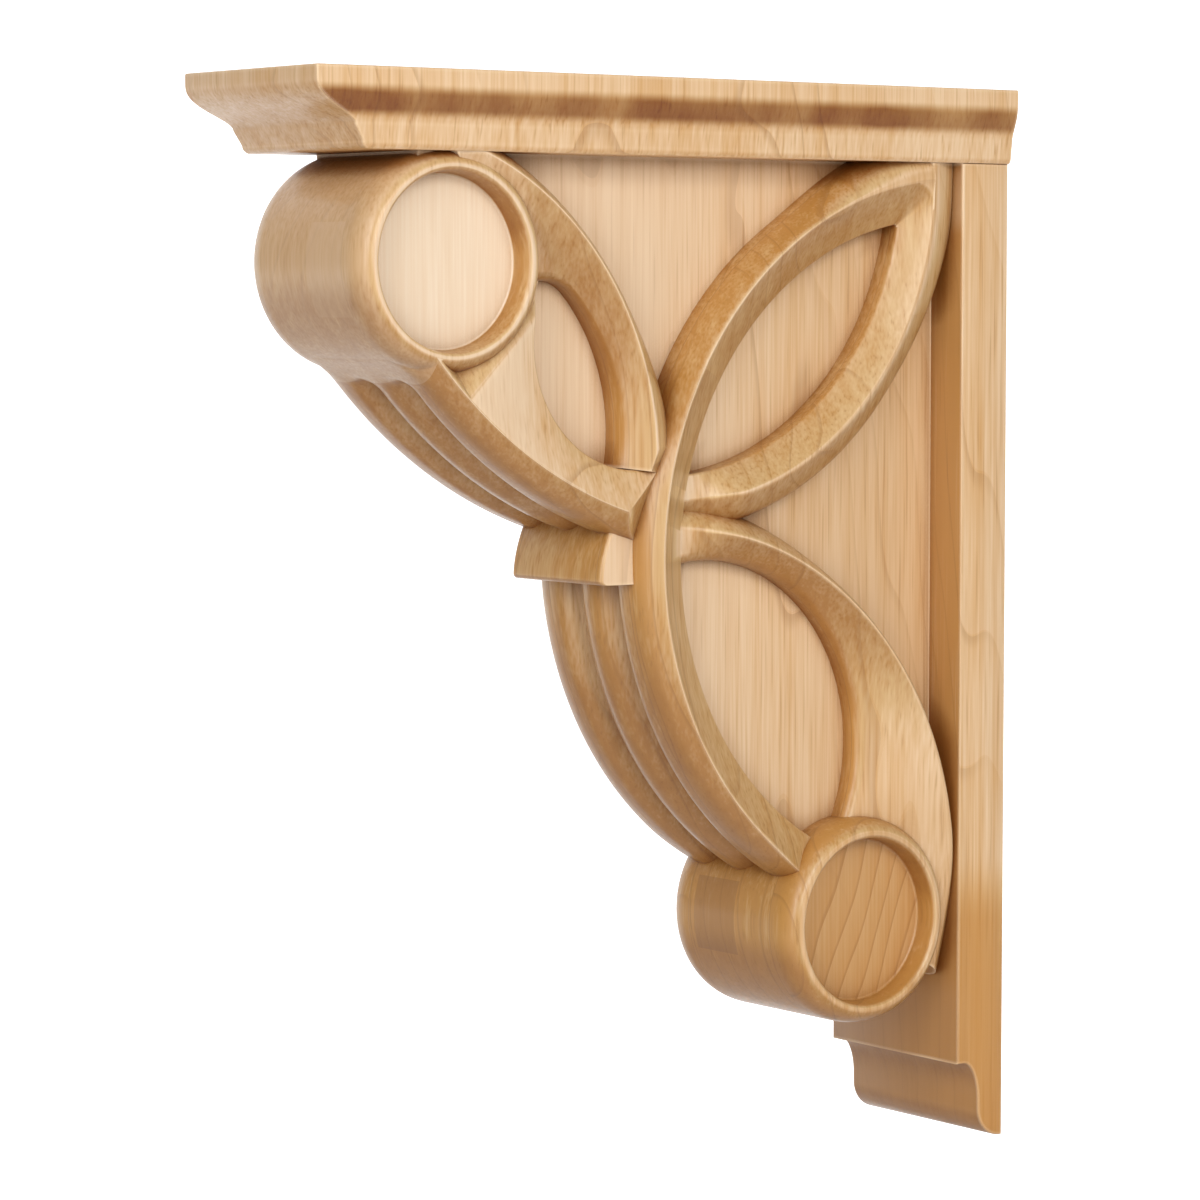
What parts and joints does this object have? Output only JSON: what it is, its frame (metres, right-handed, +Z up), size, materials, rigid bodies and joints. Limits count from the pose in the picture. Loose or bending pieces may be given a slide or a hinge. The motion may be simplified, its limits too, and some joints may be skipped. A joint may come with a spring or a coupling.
{
  "type": "carved corbel bracket",
  "caption": "Carved wooden corbel: moulded cap over a scrolled, leaf-carved and reeded body on a flat back plate, screwed to a wall under a shelf or mantel.",
  "frame": {"origin": "centre of the flat back face, in the plane of the wall", "axes": "+Y into the wall, +Z up along the height, +X across the width; the carved front looks along -Y"},
  "size_m": [0.0698, 0.2605, 0.33],
  "materials": {
    "cap_wood": "satin clear lacquer",
    "plate_wood": "satin clear lacquer",
    "carved_wood": "satin clear lacquer"
  },
  "bodies": {
    "root": {"cap": "cap_wood", "back_plate": "plate_wood", "carved_body": "carved_wood"}
  },
  "joints": []
}
